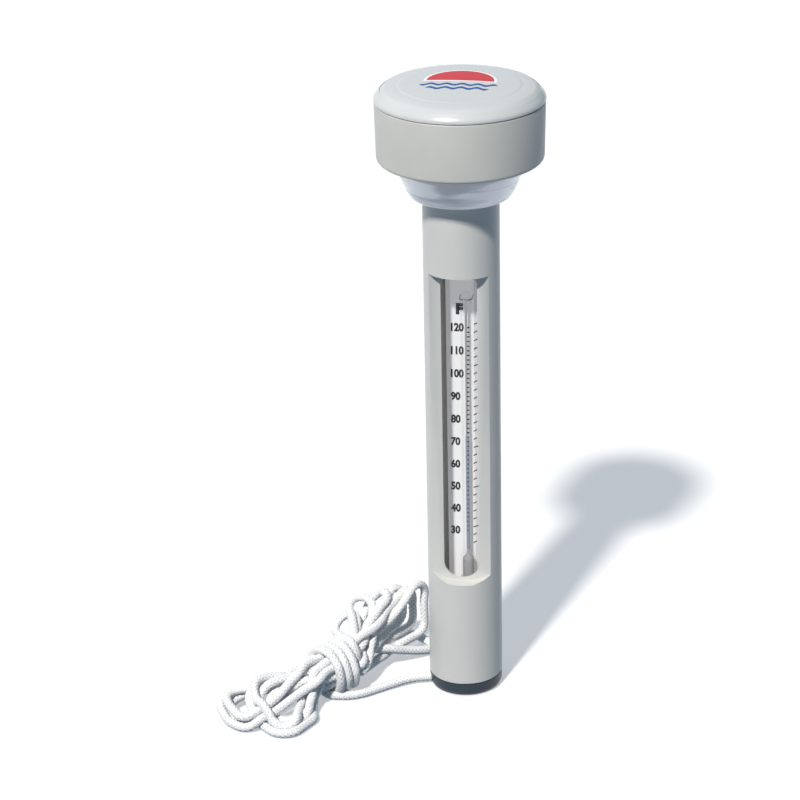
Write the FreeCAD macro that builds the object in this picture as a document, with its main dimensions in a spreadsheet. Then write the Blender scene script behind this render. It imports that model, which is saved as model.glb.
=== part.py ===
import FreeCAD, Part
import math
import os

import Sketcher
from FreeCAD import Vector

# A floating pool thermometer: a hollow float head on a slotted stem, and a keyed thermometer insert
# that stands on the stem's bottom cap and holds the glass tube and its scale card behind the window.
# Millimetres, +Z up, origin on the stem's axis at the underside of the cap, window towards -Y.
# The case (head and stem) pulls straight up off the insert, which stays on the cap with the cord.

doc = FreeCAD.newDocument("PoolThermometer")
sheet = doc.addObject("Spreadsheet::Sheet", "Dims")

DIMENSIONS = {
    # levels of the outside, from the floor
    "capTop": 5.0,
    "stemFoot": 5.1,
    "shoulderTop": 185.6,
    "skirtFoot": 198.1,
    "lidSeam": 218.4,
    # stem
    "stemRad": 13.0,
    "boreRad": 10.8,
    "roofLow": 170.0,
    "roofHigh": 172.5,
    "spigotRad": 11.0,
    "spigotBore": 9.0,
    "spigotTop": 196.0,
    "fitGap": 0.05,
    # window and the flat recess round it
    "facetDepth": 8.1,
    "plateBack": 7.1,
    "plateLow": 40.0,
    "plateHigh": 163.0,
    "recessLow": 44.7,
    "recessHigh": 159.4,
    "recessCorner": 4.0,
    "recessBendRise": 1.3,
    "recessBendHalf": 8.1,
    "recessFlatHalf": 4.4,
    "windowHalf": 6.2,
    "windowLow": 45.3,
    "windowHigh": 157.8,
    "windowCorner": 1.4,
    # float head
    "skirtRad": 28.4,
    "skirtFootRad": 28.0,
    "skirtWall": 2.3,
    "skirtFloor": 2.0,
    "skirtHole": 23.7,
    "bowlFootRad": 17.2,
    "bowlFloor": 1.8,
    "bowlTopRad": 23.5,
    "bowlWall": 1.6,
    "bowlFlangeRad": 25.7,
    "bowlFlange": 1.4,
    "gasketThick": 0.8,
    "nutLow": 3.4,
    "nutHeight": 4.2,
    "nutSlotHalf": 1.2,
    "nutSlotDepth": 1.8,
    "neckSealWire": 0.78,
    "lidRad": 28.5,
    "lidThick": 2.0,
    "lidRise": 5.8,
    "lidDiscRad": 20.0,
    "lidDiscRise": 5.0,
    "lidRimRise": 3.9,
    "lidRimIn": 2.6,
    "lidSide": 1.2,
    "lidLipRad": 25.95,
    "lidLipThick": 2.6,
    "lidLipDepth": 5.4,
    "sealGroove": 1.4,
    "sealGrooveLow": 3.6,
    "sealGrooveHigh": 1.9,
    "lidSealWire": 0.76,
    # thermometer insert
    "capRad": 12.9,
    "capFootRad": 11.0,
    "capFloor": 0.9,
    "plugRad": 10.7,
    "plugTop": 28.0,
    "cupRad": 9.3,
    "cupFloor": 7.0,
    "ballastTop": 16.0,
    "clearRad": 6.5,
    "clearBore": 5.9,
    "clearLow": 18.0,
    "clearHigh": 168.0,
    "clearFoot": 1.2,
    "stopperDeep": 5.0,
    "stopperRim": 1.0,
    "bushLip": 1.4,
    "bushRad": 10.5,
    "bushFlat": 5.9,
    "bushLow": 163.6,
    "bushHigh": 167.4,
    "cardFace": 0.6,
    "cardThick": 0.4,
    "cardHalf": 5.7,
    "cardLow": 40.0,
    "cardHigh": 161.0,
    "glassX": 1.6,
    "glassY": -2.05,
    "glassRad": 1.9,
    "bulbRad": 2.55,
    "bulbLow": 36.5,
    "bulbHigh": 53.0,
    "glassHigh": 151.0,
    "threadRad": 0.42,
    "readingTop": 97.5,
    "stapleHigh": 148.8,
    "stapleLow": 41.8,
    "stapleWire": 0.22,
    "stapleFoot": 1.3,
    "stapleHole": 0.28,
    # cord
    "cordRad": 1.6,
    "cordHoleY": -3.0,
    "cordHoleZ": 2.45,
    "cordHoleRad": 1.75,
    "knotRad": 3.0,
    "knotPocketRad": 5.8,
    "knotX": -1.8,
    "knotY": -2.0,
    "knotZ": 3.95,
}


def fill_sheet():
    """Write every driving dimension as a plain number with its alias."""
    for row, (name, value) in enumerate(DIMENSIONS.items(), start=1):
        sheet.set(f"A{row}", name)
        sheet.set(f"B{row}", str(value))
        sheet.setAlias(f"B{row}", name)
    doc.recompute()


def dim(name):
    """The sheet's value, for a shape that is set in code."""
    return float(getattr(sheet, name))


def bound(words):
    """An expression with each dimension's name led by the sheet's, so that it can be bound."""
    for name in sorted(DIMENSIONS, key=len, reverse=True):
        words = words.replace("<" + name + ">", "Dims." + name)
    return words


def value_of(words):
    """The number an expression stands for, for the sketch's first placing of a point."""
    probe = doc.getObject("Probe") or doc.addObject("App::FeaturePython", "Probe")
    if "Reach" not in probe.PropertiesList:
        probe.addProperty("App::PropertyFloat", "Reach")
    probe.setExpression("Reach", bound(words))
    probe.recompute()
    return probe.Reach


def new_body(label):
    """An empty body that carries the node's name."""
    body = doc.addObject("PartDesign::Body", "Body_" + label)
    body.Label = label
    return body


def plane_of(body, role):
    """One of the body's own origin planes or axes."""
    return next(f for f in body.Origin.OriginFeatures if f.Role == role)


def new_sketch(body, name, role, offset=None):
    """A sketch on one of the body's origin planes, moved along its normal by an expression."""
    sketch = body.newObject("Sketcher::SketchObject", name)
    sketch.AttachmentSupport = [(plane_of(body, role), "")]
    sketch.MapMode = "FlatFace"
    if offset is not None:
        sketch.setExpression("AttachmentOffset.Base.z", bound(offset))
    return sketch


def fix_point(sketch, geometry, end, across, up):
    """Hold one end of a piece of geometry at a place given by two expressions."""
    for kind, words in (("DistanceX", across), ("DistanceY", up)):
        index = sketch.addConstraint(
            Sketcher.Constraint(kind, -1, 1, geometry, end, value_of(words))
        )
        sketch.setExpression(f"Constraints[{index}]", bound(words))


def draw_outline(sketch, points):
    """A closed outline of straight lines through points, each a pair of expressions."""
    places = [Vector(value_of(x), value_of(y), 0) for x, y in points]
    count = len(points)
    for i in range(count):
        sketch.addGeometry(Part.LineSegment(places[i], places[(i + 1) % count]))
    for i in range(count):
        sketch.addConstraint(
            Sketcher.Constraint("Coincident", i, 2, (i + 1) % count, 1)
        )
    for i, (x, y) in enumerate(points):
        fix_point(sketch, i, 1, x, y)


def draw_circle(sketch, x, y, radius):
    """A circle whose centre and radius are expressions."""
    centre = Vector(value_of(x), value_of(y), 0)
    ring = sketch.addGeometry(
        Part.Circle(centre, Vector(0, 0, 1), value_of(radius))
    )
    fix_point(sketch, ring, 3, x, y)
    index = sketch.addConstraint(
        Sketcher.Constraint("Radius", ring, value_of(radius))
    )
    sketch.setExpression(f"Constraints[{index}]", bound(radius))


def revolve(body, points, name="Profile"):
    """Turn an outline of (radius, height) pairs about the stem's axis."""
    sketch = new_sketch(body, name + "_" + body.Label, "XZ_Plane")
    draw_outline(sketch, points)
    turned = body.newObject("PartDesign::Revolution", "Turn_" + body.Label)
    turned.Profile = sketch
    turned.ReferenceAxis = (sketch, ["V_Axis"])
    turned.Angle = 360
    doc.recompute()
    return turned


def cut_away(body, sketch, length, reverse=False, both=False):
    """Pocket a sketch to a length: against its normal, along it if reversed, or half each way."""
    before = body.Shape.Volume
    pocket = body.newObject("PartDesign::Pocket", "Cut_" + sketch.Name)
    pocket.Profile = sketch
    pocket.setExpression("Length", bound(length))
    pocket.Reversed = reverse
    pocket.Midplane = both
    doc.recompute()
    if body.Shape.Volume > before - 0.01:
        raise ValueError("nothing was cut by " + sketch.Name)
    return pocket


def edges_where(shape, wanted):
    """Names of the edges for which a test of the edge is true."""
    return [f"Edge{i}" for i, edge in enumerate(shape.Edges, start=1) if wanted(edge)]


def is_ring(edge, radius, height):
    """True for a full circle of that radius at that height."""
    curve = edge.Curve
    if not isinstance(curve, Part.Circle) or not edge.isClosed():
        return False
    return abs(curve.Radius - radius) < 0.02 and abs(curve.Center.z - height) < 0.02


def round_edges(body, radius, wanted):
    """Fillet the edges of the body's last feature that pass the test."""
    base = body.Tip
    names = edges_where(base.Shape, wanted)
    if not names:
        raise ValueError("no edge to round on " + body.Label)
    fillet = body.newObject("PartDesign::Fillet", "Round_" + body.Label)
    fillet.Base = (base, names)
    fillet.Radius = radius
    doc.recompute()
    return fillet


# ---------------------------------------------------------------------------- float head


def make_lid():
    """The head's top: a shallow dome with a raised centre disc, a rounded rim and an inner lip."""
    body = new_body("float_lid")
    groove_low = "<lidSeam> - <sealGrooveLow>"
    groove_high = "<lidSeam> - <sealGrooveHigh>"
    lip_inside = "<lidLipRad> - <lidLipThick>"
    revolve(body, [
        ("0", "<lidSeam> + <lidRise> - <lidThick>"),
        ("<lidDiscRad> - 1.5", "<lidSeam> + <lidDiscRise> - <lidThick>"),
        (lip_inside, "<lidSeam>"),
        (lip_inside, "<lidSeam> - <lidLipDepth>"),
        ("<lidLipRad>", "<lidSeam> - <lidLipDepth>"),
        ("<lidLipRad>", groove_low),
        ("<lidLipRad> - <sealGroove>", groove_low),
        ("<lidLipRad> - <sealGroove>", groove_high),
        ("<lidLipRad>", groove_high),
        ("<lidLipRad>", "<lidSeam>"),
        ("<lidRad> - 0.5", "<lidSeam>"),
        ("<lidRad>", "<lidSeam> + 0.5"),
        ("<lidRad>", "<lidSeam> + <lidSide>"),
        ("<lidRad> - <lidRimIn>", "<lidSeam> + <lidRimRise>"),
        ("<lidDiscRad> + 0.5", "<lidSeam> + <lidDiscRise> - 0.3"),
        ("<lidDiscRad>", "<lidSeam> + <lidDiscRise>"),
        ("0", "<lidSeam> + <lidRise>"),
    ])
    rim = dim("lidRad")
    seam = dim("lidSeam")
    shoulder_rad = rim - dim("lidRimIn")
    shoulder_high = seam + dim("lidRimRise")
    round_edges(body, 1.0, lambda e: is_ring(e, shoulder_rad, shoulder_high))
    round_edges(body, 1.2, lambda e: is_ring(e, rim, seam + dim("lidSide")))
    return body


def make_lid_seal():
    """The O-ring in the groove of the lid's lip."""
    seal = doc.addObject("Part::Torus", "Torus_lid_seal_ring")
    seal.Label = "lid_seal_ring"
    seal.setExpression("Radius1", bound("<lidLipRad> - <sealGroove> + <lidSealWire> + 0.02"))
    seal.setExpression("Radius2", bound("<lidSealWire>"))
    middle = "<lidSeam> - 0.5 * <sealGrooveLow> - 0.5 * <sealGrooveHigh>"
    seal.setExpression("Placement.Base.z", bound(middle))
    return seal


def make_skirt():
    """The head's side wall, slightly tapered, with an inward floor ring at its foot."""
    body = new_body("float_skirt")
    revolve(body, [
        ("<skirtHole>", "<skirtFoot>"),
        ("<skirtFootRad>", "<skirtFoot>"),
        ("<skirtRad>", "<lidSeam> - 0.5"),
        ("<skirtRad> - 0.4", "<lidSeam> - 0.1"),
        ("<skirtRad> - <skirtWall>", "<lidSeam> - 0.1"),
        ("<skirtRad> - <skirtWall>", "<skirtFoot> + <skirtFloor>"),
        ("<skirtHole>", "<skirtFoot> + <skirtFloor>"),
    ])
    foot = dim("skirtFoot")
    outer = dim("skirtFootRad")
    round_edges(body, 1.1, lambda e: is_ring(e, outer, foot))
    return body


def make_bowl():
    """The clear bowl that closes the air chamber below, with a floor the stem's spigot passes."""
    body = new_body("float_bowl")
    flange_low = "<skirtFoot> + <skirtFloor> + <gasketThick>"
    revolve(body, [
        ("<spigotRad> + <fitGap>", "<shoulderTop>"),
        ("<bowlFootRad>", "<shoulderTop>"),
        ("<bowlFootRad> + 0.5", "<shoulderTop> + 1.6"),
        ("<bowlTopRad>", "<skirtFoot>"),
        ("<bowlTopRad>", flange_low),
        ("<bowlFlangeRad>", flange_low),
        ("<bowlFlangeRad>", flange_low + " + <bowlFlange>"),
        ("<bowlTopRad> - <bowlWall>", flange_low + " + <bowlFlange>"),
        ("<bowlTopRad> - <bowlWall>", "<skirtFoot> + 0.4"),
        ("<bowlFootRad> - 1.2", "<shoulderTop> + <bowlFloor>"),
        ("<spigotRad> + <fitGap>", "<shoulderTop> + <bowlFloor>"),
    ])
    foot = dim("shoulderTop")
    outer = dim("bowlFootRad")
    round_edges(body, 0.5, lambda e: is_ring(e, outer, foot))
    return body


def make_ring(label, inner, outer, low, height):
    """A flat ring about the stem's axis, as one cylinder cut from another."""
    core = doc.addObject("Part::Cylinder", "Core_" + label)
    core.setExpression("Radius", bound(inner))
    core.setExpression("Height", bound(height + " + 2"))
    core.setExpression("Placement.Base.z", bound(low + " - 1"))
    rim = doc.addObject("Part::Cylinder", "Rim_" + label)
    rim.setExpression("Radius", bound(outer))
    rim.setExpression("Height", bound(height))
    rim.setExpression("Placement.Base.z", bound(low))
    ring = doc.addObject("Part::Cut", "Ring_" + label)
    ring.Base = rim
    ring.Tool = core
    ring.Label = label
    return ring


def make_lock_nut():
    """The nut that clamps the stem's spigot to the bowl's floor, with four spanner slots."""
    label = "neck_lock_nut"
    body = new_body(label)
    low = "<shoulderTop> + <nutLow>"
    high = low + " + <nutHeight>"
    revolve(body, [
        ("<spigotRad> + <fitGap>", low),
        ("<bowlFootRad> - 2.9", low),
        ("<bowlFootRad> - 2.9", high),
        ("<spigotRad> + <fitGap>", high),
    ])
    sketch = new_sketch(body, "Slot_" + label, "XY_Plane", high)
    draw_outline(sketch, [
        ("<spigotRad> + 1.6", "-<nutSlotHalf>"),
        ("<spigotRad> + 6", "-<nutSlotHalf>"),
        ("<spigotRad> + 6", "<nutSlotHalf>"),
        ("<spigotRad> + 1.6", "<nutSlotHalf>"),
    ])
    slot = cut_away(body, sketch, "<nutSlotDepth>")
    pattern = body.newObject("PartDesign::PolarPattern", "Slots_" + label)
    pattern.Originals = [slot]
    pattern.Axis = (sketch, ["N_Axis"])
    pattern.Angle = 360
    pattern.Occurrences = 4
    body.Tip = pattern
    doc.recompute()
    return body


def make_neck_seal():
    """The O-ring squeezed between the bowl's floor and the lock nut, round the spigot."""
    seal = doc.addObject("Part::Torus", "Torus_neck_seal_ring")
    seal.Label = "neck_seal_ring"
    seal.setExpression("Radius1", bound("<spigotRad> + <neckSealWire> + 0.02"))
    seal.setExpression("Radius2", bound("<neckSealWire>"))
    middle = "<shoulderTop> + 0.5 * <bowlFloor> + 0.5 * <nutLow>"
    seal.setExpression("Placement.Base.z", bound(middle))
    return seal


# ---------------------------------------------------------------------------- stem


def make_stem():
    """The stem: a tube closed by a web near its top, with a flat window plate inside its front."""
    body = new_body("stem_tube")
    revolve(body, [
        ("<boreRad>", "<stemFoot>"),
        ("<stemRad>", "<stemFoot>"),
        ("<stemRad>", "<shoulderTop> - 0.6"),
        ("<stemRad> - 0.6", "<shoulderTop>"),
        ("<spigotRad>", "<shoulderTop>"),
        ("<spigotRad>", "<spigotTop>"),
        ("<spigotBore>", "<spigotTop>"),
        ("<spigotBore>", "<roofHigh>"),
        ("0", "<roofHigh>"),
        ("0", "<roofLow>"),
        ("<boreRad>", "<roofLow>"),
    ])
    add_window_plate(body)
    cut_recess(body)
    cut_window(body)
    foot = dim("stemFoot")
    outer = dim("stemRad")
    round_edges(body, 0.4, lambda e: is_ring(e, outer, foot))
    return body


def add_window_plate(body):
    """Fill the front of the bore to a flat back, as thick as the recess needs behind it."""
    sketch = new_sketch(body, "Plate_stem", "XY_Plane", "<plateLow>")
    radius = dim("boreRad") + 0.6
    half = math.sqrt(radius**2 - dim("plateBack") ** 2)
    left = Vector(-half, -dim("plateBack"), 0)
    right = Vector(half, -dim("plateBack"), 0)
    chord = sketch.addGeometry(Part.LineSegment(right, left))
    bow = sketch.addGeometry(Part.Arc(left, Vector(0, -radius, 0), right))
    sketch.addConstraint(Sketcher.Constraint("Coincident", bow, 3, -1, 1))
    for corner in (left, right):
        chord_end = 2 if corner is left else 1
        start = sketch.getPoint(bow, 1)
        bow_end = 1 if start.distanceToPoint(corner) < 0.01 else 2
        sketch.addConstraint(Sketcher.Constraint("Coincident", chord, chord_end, bow, bow_end))
    sketch.addConstraint(Sketcher.Constraint("Horizontal", chord))
    index = sketch.addConstraint(Sketcher.Constraint("Radius", bow, radius))
    sketch.setExpression(f"Constraints[{index}]", bound("<boreRad> + 0.6"))
    index = sketch.addConstraint(
        Sketcher.Constraint("DistanceY", -1, 1, chord, 1, -dim("plateBack"))
    )
    sketch.setExpression(f"Constraints[{index}]", bound("-<plateBack>"))
    pad = body.newObject("PartDesign::Pad", "Plate")
    pad.Profile = sketch
    pad.setExpression("Length", bound("<plateHigh> - <plateLow>"))
    doc.recompute()


def cut_recess(body):
    """Mill the flat recess into the stem's front, with rounded lower corners."""
    sketch = new_sketch(body, "Recess_stem", "XZ_Plane", "<facetDepth>")
    half = "<stemRad>"
    corner = "<recessCorner>"
    draw_outline(sketch, [
        ("-" + half, "<recessLow> + " + corner),
        ("-" + half, "<recessHigh>"),
        (half, "<recessHigh>"),
        (half, "<recessLow> + " + corner),
        ("<recessBendHalf>", "<recessLow> + <recessBendRise>"),
        ("<recessFlatHalf>", "<recessLow>"),
        ("-<recessFlatHalf>", "<recessLow>"),
        ("-<recessBendHalf>", "<recessLow> + <recessBendRise>"),
    ])
    cut_away(body, sketch, "<stemRad>", reverse=True)


def cut_window(body):
    """Open the window through the plate: square at the top, a half round at the bottom."""
    sketch = new_sketch(body, "Window_stem", "XZ_Plane", "<plateBack> - 2")
    half = dim("windowHalf")
    corner = dim("windowCorner")
    top = dim("windowHigh")
    spring = dim("windowLow") + half
    left = sketch.addGeometry(Part.LineSegment(Vector(-half, spring, 0), Vector(-half, top - corner, 0)))
    corner_centre = Vector(-half + corner, top - corner, 0)
    up = Vector(0, 0, 1)
    left_turn = sketch.addGeometry(
        Part.ArcOfCircle(Part.Circle(corner_centre, up, corner), math.pi / 2, math.pi)
    )
    head = sketch.addGeometry(
        Part.LineSegment(Vector(-half + corner, top, 0), Vector(half - corner, top, 0))
    )
    corner_centre = Vector(half - corner, top - corner, 0)
    right_turn = sketch.addGeometry(
        Part.ArcOfCircle(Part.Circle(corner_centre, up, corner), 0, math.pi / 2)
    )
    right = sketch.addGeometry(Part.LineSegment(Vector(half, top - corner, 0), Vector(half, spring, 0)))
    bottom = sketch.addGeometry(
        Part.ArcOfCircle(Part.Circle(Vector(0, spring, 0), up, half), math.pi, 2 * math.pi)
    )
    joins = [
        (left, 2, left_turn, 2),
        (left_turn, 1, head, 1),
        (head, 2, right_turn, 2),
        (right_turn, 1, right, 1),
        (right, 2, bottom, 2),
        (bottom, 1, left, 1),
    ]
    for first, first_end, second, second_end in joins:
        sketch.addConstraint(Sketcher.Constraint("Tangent", first, first_end, second, second_end))
    sketch.addConstraint(Sketcher.Constraint("Vertical", left))
    sketch.addConstraint(Sketcher.Constraint("Equal", left_turn, right_turn))
    sketch.addConstraint(Sketcher.Constraint("PointOnObject", bottom, 3, -2))
    sized = [
        (Sketcher.Constraint("Radius", bottom, half), "<windowHalf>"),
        (Sketcher.Constraint("Radius", left_turn, corner), "<windowCorner>"),
        (Sketcher.Constraint("DistanceY", -1, 1, head, 1, top), "<windowHigh>"),
        (Sketcher.Constraint("DistanceY", -1, 1, bottom, 3, spring), "<windowLow> + <windowHalf>"),
    ]
    for constraint, words in sized:
        index = sketch.addConstraint(constraint)
        sketch.setExpression(f"Constraints[{index}]", bound(words))
    cut_away(body, sketch, "<facetDepth>", reverse=True)


# ---------------------------------------------------------------------------- thermometer insert


def make_cap():
    """The dark bottom cap: a disc with a cup-shaped plug, a knot pocket and the cord's side hole."""
    body = new_body("bottom_cap")
    revolve(body, [
        ("0", "0"),
        ("<capFootRad>", "0"),
        ("<capRad> - 0.55", "0.6"),
        ("<capRad>", "2.0"),
        ("<capRad>", "<capTop>"),
        ("<plugRad>", "<capTop>"),
        ("<plugRad>", "<plugTop>"),
        ("<cupRad>", "<plugTop>"),
        ("<cupRad>", "<cupFloor>"),
        ("<knotPocketRad>", "<cupFloor>"),
        ("<knotPocketRad>", "<capFloor>"),
        ("0", "<capFloor>"),
    ])
    sketch = new_sketch(body, "CordHole_cap", "YZ_Plane", "-<capRad> - 1")
    draw_circle(sketch, "<cordHoleY>", "<cordHoleZ>", "<cordHoleRad>")
    cut_away(body, sketch, "<capRad> - 1", reverse=True)
    return body


def make_cylinder(label, radius, low, height, x="0", y="0"):
    """A plain round bar, standing at (x, y)."""
    bar = doc.addObject("Part::Cylinder", "Bar_" + label)
    bar.Label = label
    bar.setExpression("Radius", bound(radius))
    bar.setExpression("Height", bound(height))
    bar.setExpression("Placement.Base.x", bound(x))
    bar.setExpression("Placement.Base.y", bound(y))
    bar.setExpression("Placement.Base.z", bound(low))
    return bar


def make_lower_bush():
    """The rubber cup that stands on the ballast and holds the clear tube's foot."""
    body = new_body("lower_bush")
    revolve(body, [
        ("0", "<ballastTop>"),
        ("<cupRad>", "<ballastTop>"),
        ("<cupRad>", "<plugTop> + <bushLip>"),
        ("<clearRad>", "<plugTop> + <bushLip>"),
        ("<clearRad>", "<clearLow>"),
        ("0", "<clearLow>"),
    ])
    return body


def make_clear_tube():
    """The clear tube that keeps the water off the card, closed at its foot."""
    body = new_body("clear_tube")
    revolve(body, [
        ("0", "<clearLow>"),
        ("<clearRad>", "<clearLow>"),
        ("<clearRad>", "<clearHigh>"),
        ("<clearBore>", "<clearHigh>"),
        ("<clearBore>", "<clearLow> + <clearFoot>"),
        ("0", "<clearLow> + <clearFoot>"),
    ])
    return body


def make_stopper():
    """The stopper in the clear tube's mouth, with a rim that stands on it."""
    body = new_body("clear_tube_stopper")
    revolve(body, [
        ("0", "<clearHigh> - <stopperDeep>"),
        ("<clearBore> - 0.4", "<clearHigh> - <stopperDeep>"),
        ("<clearBore>", "<clearHigh> - <stopperDeep> + 1"),
        ("<clearBore>", "<clearHigh>"),
        ("<clearRad>", "<clearHigh>"),
        ("<clearRad>", "<clearHigh> + <stopperRim>"),
        ("0", "<clearHigh> + <stopperRim>"),
    ])
    return body


def make_key_bush():
    """The clip at the tube's head: a ring with a flat front, so the scale can't turn from the window."""
    label = "key_bush"
    body = new_body(label)
    revolve(body, [
        ("<clearRad>", "<bushLow>"),
        ("<bushRad>", "<bushLow>"),
        ("<bushRad>", "<bushHigh>"),
        ("<clearRad>", "<bushHigh>"),
    ])
    sketch = new_sketch(body, "Flat_" + label, "XY_Plane", "<bushHigh> + 1")
    draw_outline(sketch, [
        ("-<bushRad> - 1", "-<bushRad> - 1"),
        ("<bushRad> + 1", "-<bushRad> - 1"),
        ("<bushRad> + 1", "-<bushFlat>"),
        ("-<bushRad> - 1", "-<bushFlat>"),
    ])
    cut_away(body, sketch, "<bushHigh> - <bushLow> + 2")
    return body


def make_card():
    """The printed scale card, with two pairs of holes for the staples that hold the glass tube."""
    body = new_body("scale_card")
    sketch = new_sketch(body, "Outline_card", "XZ_Plane", "-<cardFace>")
    draw_outline(sketch, [
        ("-<cardHalf>", "<cardLow>"),
        ("<cardHalf>", "<cardLow>"),
        ("<cardHalf>", "<cardHigh>"),
        ("-<cardHalf>", "<cardHigh>"),
    ])
    pad = body.newObject("PartDesign::Pad", "Pad_card")
    pad.Profile = sketch
    pad.setExpression("Length", bound("<cardThick>"))
    doc.recompute()
    if body.Shape.BoundBox.YMin < dim("cardFace") - 0.01:
        pad.Reversed = True
        doc.recompute()
    holes = new_sketch(body, "StapleHoles_card", "XZ_Plane", "-<cardFace> + 1")
    for height, reach in (("<stapleHigh>", "<glassRad>"), ("<stapleLow>", "<bulbRad>")):
        for side in ("-", "+"):
            across = f"<glassX> {side} {reach} {side} <stapleWire> {side} 0.04"
            draw_circle(holes, across, height, "<stapleHole>")
    cut_away(body, holes, "4", both=True)
    return body


def make_glass():
    """The sealed glass: a thick-walled fine tube on a bulb, hollow from the bulb to its head."""
    label = "glass_tube"
    body = new_body(label)
    revolve(body, [
        ("0", "<bulbLow>"),
        ("<bulbRad> - 1.2", "<bulbLow> + 0.4"),
        ("<bulbRad>", "<bulbLow> + 2.2"),
        ("<bulbRad>", "<bulbHigh> - 2"),
        ("<glassRad>", "<bulbHigh>"),
        ("<glassRad>", "<glassHigh> - 1.2"),
        ("<glassRad> - 0.8", "<glassHigh>"),
        ("0", "<glassHigh>"),
        ("0", "<glassHigh> - 2"),
        ("<threadRad> + 0.03", "<glassHigh> - 3"),
        ("<threadRad> + 0.03", "<bulbHigh> - 0.5"),
        ("<bulbRad> - 0.55", "<bulbHigh> - 2.6"),
        ("<bulbRad> - 0.55", "<bulbLow> + 2.4"),
        ("0", "<bulbLow> + 1"),
    ])
    body.setExpression("Placement.Base.x", bound("<glassX>"))
    body.setExpression("Placement.Base.y", bound("<glassY>"))
    return body


def make_reservoir():
    """The spirit that fills the bulb, up to the foot of the fine bore."""
    body = new_body("spirit_reservoir")
    revolve(body, [
        ("0", "<bulbLow> + 1.1"),
        ("<bulbRad> - 0.6", "<bulbLow> + 2.45"),
        ("<bulbRad> - 0.6", "<bulbHigh> - 2.7"),
        ("<threadRad>", "<bulbHigh> - 0.6"),
        ("0", "<bulbHigh> - 0.6"),
    ])
    body.setExpression("Placement.Base.x", bound("<glassX>"))
    body.setExpression("Placement.Base.y", bound("<glassY>"))
    return body


def make_staple(label, height, held_rad):
    """A wire staple over the glass: a half ring, two legs through the card, bent feet."""
    wire_rad = dim("stapleWire")
    bend = held_rad + wire_rad + 0.04
    back = dim("cardFace") + dim("cardThick") + wire_rad + 0.02 - dim("glassY")
    left = Vector(-bend, 0, 0)
    right = Vector(bend, 0, 0)
    left_back = Vector(-bend, back, 0)
    right_back = Vector(bend, back, 0)
    edges = [
        Part.LineSegment(left_back, left).toShape(),
        Part.Arc(left, Vector(0, -bend, 0), right).toShape(),
        Part.LineSegment(right, right_back).toShape(),
    ]
    path = Part.Wire(edges)
    section = Part.Wire(Part.Circle(left_back, Vector(0, 1, 0), wire_rad).toShape())
    hoop = path.makePipeShell([section], True, True)
    feet = [
        Part.makeCylinder(wire_rad, dim("stapleFoot"), corner, Vector(way, 0, 0))
        for corner, way in ((left_back, 1), (right_back, -1))
    ]
    staple = doc.addObject("Part::Feature", "Wire_" + label)
    staple.Shape = hoop.fuse(feet).removeSplitter()
    staple.Label = label
    staple.setExpression("Placement.Base.x", bound("<glassX>"))
    staple.setExpression("Placement.Base.y", bound("<glassY>"))
    staple.setExpression("Placement.Base.z", bound(height))
    return staple


# ---------------------------------------------------------------------------- cord

# The lead's route on the floor, from the cap's side hole to the wrap of the hank.
LEAD_ROUTE = [
    (-4.0, -3.0, 2.45),
    (-16.0, -3.0, 2.45),
    (-27.0, -10.4, 1.6),
    (-36.6, -19.0, 1.6),
    (-45.0, -19.9, 1.6),
]

# The hank's outer shape: x and y of its centre line, half width and height of each section.
HANK_STATIONS = [
    (-83.0, -36.0, 5.0, 6.0),
    (-72.0, -32.0, 15.0, 10.0),
    (-58.0, -23.0, 13.0, 16.0),
    (-45.5, -12.5, 10.0, 20.5),
    (-36.0, 1.0, 12.0, 25.0),
    (-26.5, 13.0, 13.0, 26.0),
    (-18.5, 24.0, 8.5, 20.0),
]


def tube_path(points):
    """Straight runs joined by tangent arcs, each as large as its two runs allow."""
    places = [Vector(*p) for p in points]
    edges = []
    last = places[0]
    radii = []
    for before, here, after in zip(places, places[1:], places[2:]):
        inward = (here - before).normalize()
        outward = (after - here).normalize()
        turn = inward.getAngle(outward)
        shorter = min((here - before).Length, (after - here).Length)
        reach = 0.45 * shorter
        radii.append(reach / math.tan(turn / 2))
        start = here - inward * reach
        end = here + outward * reach
        bisector = (outward - inward).normalize()
        centre = here + bisector * (radii[-1] / math.cos(turn / 2))
        middle = centre - bisector * radii[-1]
        edges.append(Part.LineSegment(last, start).toShape())
        edges.append(Part.Arc(start, middle, end).toShape())
        last = end
    edges.append(Part.LineSegment(last, places[-1]).toShape())
    return Part.Wire(edges), radii


def make_lead():
    """The cord's lead as a plain round tube along its route."""
    path, radii = tube_path(LEAD_ROUTE)
    radius = dim("cordRad")
    start = Vector(*LEAD_ROUTE[0])
    heading = Vector(*LEAD_ROUTE[1]) - start
    section = Part.Wire(Part.Circle(start, heading, radius).toShape())
    tube = path.makePipeShell([section], True, True)
    expected = path.Length * math.pi * radius**2
    print("lead length", round(path.Length, 2), "arc radii", [round(r, 1) for r in radii])
    print("lead volume over section times length", round(tube.Volume / expected, 4))
    lead = doc.addObject("Part::Feature", "Tube_cord_lead")
    lead.Shape = tube
    lead.Label = "cord_lead"
    return lead


def make_knot():
    """The stopper knot inside the cap, which keeps the cord from pulling out of its hole."""
    knot = doc.addObject("Part::Sphere", "Ball_cord_knot")
    knot.Label = "cord_knot"
    knot.setExpression("Radius", bound("<knotRad>"))
    knot.setExpression("Placement.Base.x", bound("<knotX>"))
    knot.setExpression("Placement.Base.y", bound("<knotY>"))
    knot.setExpression("Placement.Base.z", bound("<knotZ>"))
    return knot


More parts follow.
